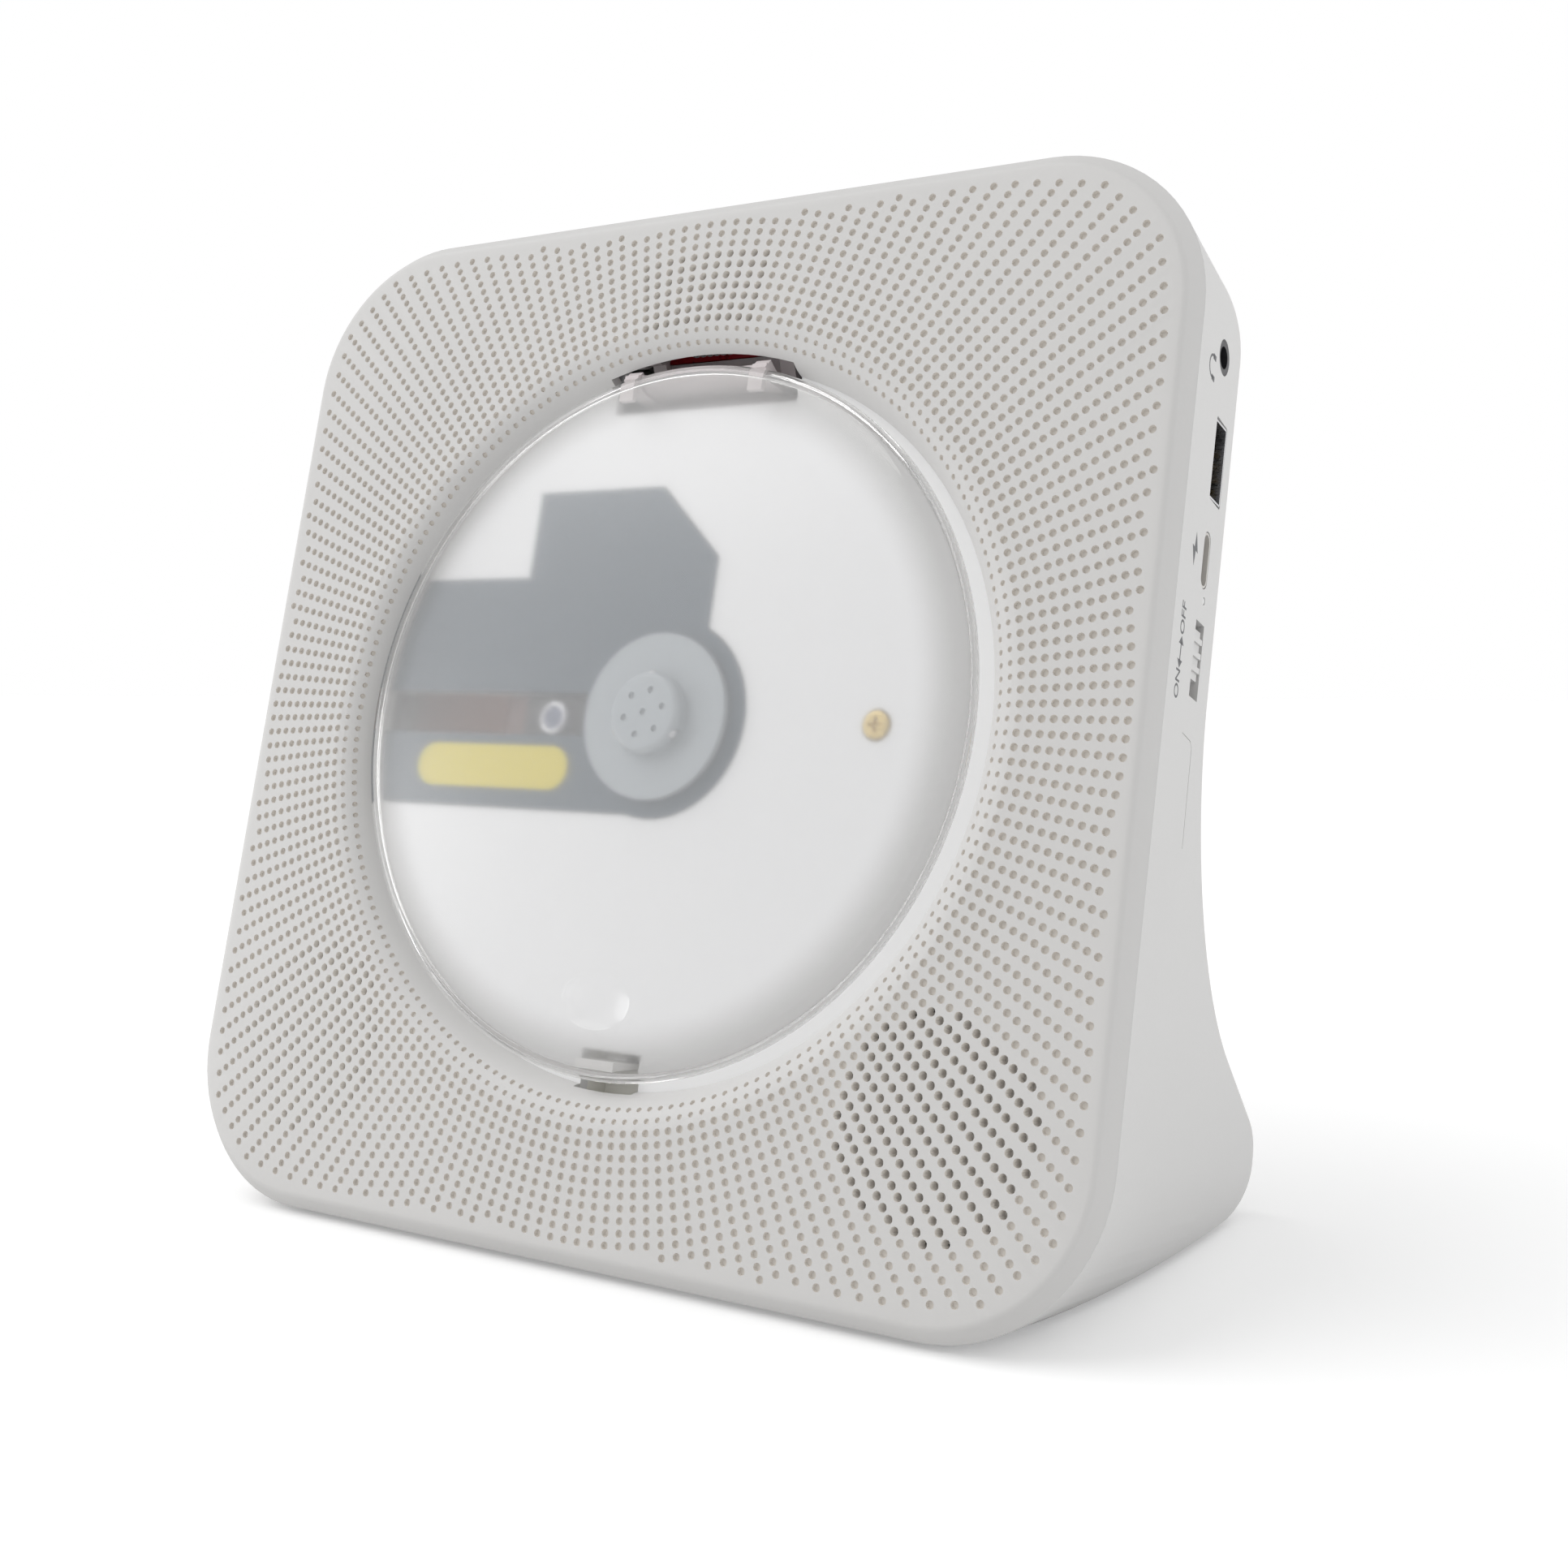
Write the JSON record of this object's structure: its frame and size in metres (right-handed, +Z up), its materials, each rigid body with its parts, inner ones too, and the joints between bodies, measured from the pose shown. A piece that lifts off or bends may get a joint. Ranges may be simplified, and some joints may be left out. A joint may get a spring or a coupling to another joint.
{
  "type": "desktop cd player",
  "caption": "Square desktop CD player leaning back on a deep foot, with a round hinged lid over the disc well, perforated front, and sockets and a power switch on its right side.",
  "frame": {"origin": "centre of the footprint, on the surface the player stands on", "axes": "+Z up, the front with the disc well looks along -Y and leans back 14 degrees, +X to the right seen from the front"},
  "size_m": [0.1898, 0.0892, 0.1854],
  "materials": {
    "case": "fine satin moulding",
    "deck": "satin",
    "lid": "frosted, with a clear rim",
    "grey": "satin grey",
    "black": "matte",
    "gear": "natural nylon",
    "steel": "bright",
    "brass": "yellow passivated",
    "yellow": "printed label film",
    "rubber": "matte",
    "board": "solder mask",
    "display": "smoked window",
    "lamp": "light pipe",
    "lens": "coated",
    "cone": "pressed paper",
    "magnet": "ferrite",
    "cell": "shrink wrap"
  },
  "bodies": {
    "player": {"front_cover": "case", "rear_housing": "case", "disc_deck": "deck", "hinge_pin": "steel", "lid_spring": "steel", "latch_bracket": "black", "latch_clip": "steel", "mechanism_cover": "grey", "caution_pad": "yellow", "mechanism_chassis": "black", "chassis_dampers": "rubber", "chassis_screws": "steel", "spindle_motor": "steel", "guide_rods": "steel", "sled_motor": "steel", "deck_screw": "brass", "deck_screws": "steel", "display_board": "board", "display_module": "display", "main_board": "board", "main_board_chips": "black", "side_board": "board", "headphone_jack": "black", "usb_socket": "steel", "usb_tongue": "black", "charging_socket": "steel", "power_lamp": "lamp", "power_switch_body": "black", "battery_holder": "black", "battery_cells": "cell", "left_speaker_frame": "black", "left_speaker_cone": "cone", "left_speaker_magnet": "magnet", "right_speaker_frame": "black", "right_speaker_cone": "cone", "right_speaker_magnet": "magnet", "speaker_screws": "steel", "cover_screws": "steel", "board_screws": "steel", "rubber_feet": "rubber", "button_board": "board", "button_switches": "black"},
    "lid": {"lid": "lid", "lid_hinge_arms": "lid", "lid_hook": "lid"},
    "turntable": {"turntable": "deck", "turntable_hub": "black", "hub_balls": "steel", "spindle_shaft": "steel"},
    "pickup": {"pickup_sled": "black", "pickup_lens": "lens"},
    "drive_gear": {"drive_gear": "gear"},
    "motor_pinion": {"motor_pinion": "gear"},
    "power_switch": {"power_switch_knob": "case"},
    "previous_button": {"previous_button": "case"},
    "play_button": {"play_button": "case"},
    "next_button": {"next_button": "case"},
    "volume_down_button": {"volume_down_button": "case"},
    "volume_up_button": {"volume_up_button": "case"}
  },
  "joints": [
    {"name": "lid_hinge", "type": "hinge", "parent": "player", "child": "lid", "pos_m": [0, 0.00209, 0.16045], "axis": [-1, 0, 0], "range_deg": [0, 60]},
    {"name": "turntable_spin", "type": "hinge", "parent": "player", "child": "turntable", "pos_m": [0, -0.01807, 0.09282], "axis": [0, -0.9703, 0.2419], "continuous": true},
    {"name": "pickup_slide", "type": "slide", "parent": "player", "child": "pickup", "axis": [-1, 0, 0], "range_m": [0, 0.034]},
    {"name": "drive_gear_spin", "type": "hinge", "parent": "player", "child": "drive_gear", "pos_m": [-0.04, -0.00551, 0.11133], "axis": [0, 0.9703, -0.2419], "range_deg": [0, 490]},
    {"name": "motor_pinion_spin", "type": "hinge", "parent": "player", "child": "motor_pinion", "pos_m": [-0.03194, -0.00356, 0.11916], "axis": [0, -0.9703, 0.2419], "range_deg": [0, 1830]},
    {"name": "power_switch_slide", "type": "slide", "parent": "player", "child": "power_switch", "axis": [0, -0.2419, -0.9703], "range_m": [0, 0.0025]},
    {"name": "previous_button_press", "type": "slide", "parent": "player", "child": "previous_button", "axis": [0, -0.2419, -0.9703], "range_m": [0, 0.0008], "stiffness_N_per_m": 300},
    {"name": "play_button_press", "type": "slide", "parent": "player", "child": "play_button", "axis": [0, -0.2419, -0.9703], "range_m": [0, 0.0008], "stiffness_N_per_m": 300},
    {"name": "next_button_press", "type": "slide", "parent": "player", "child": "next_button", "axis": [0, -0.2419, -0.9703], "range_m": [0, 0.0008], "stiffness_N_per_m": 300},
    {"name": "volume_down_button_press", "type": "slide", "parent": "player", "child": "volume_down_button", "axis": [0, -0.2419, -0.9703], "range_m": [0, 0.0008], "stiffness_N_per_m": 300},
    {"name": "volume_up_button_press", "type": "slide", "parent": "player", "child": "volume_up_button", "axis": [0, -0.2419, -0.9703], "range_m": [0, 0.0008], "stiffness_N_per_m": 300}
  ],
  "couplings": [
    {"joint": "drive_gear_spin", "follows": "pickup_slide", "rad_per_m": 250},
    {"joint": "motor_pinion_spin", "follows": "pickup_slide", "rad_per_m": 937.5}
  ]
}
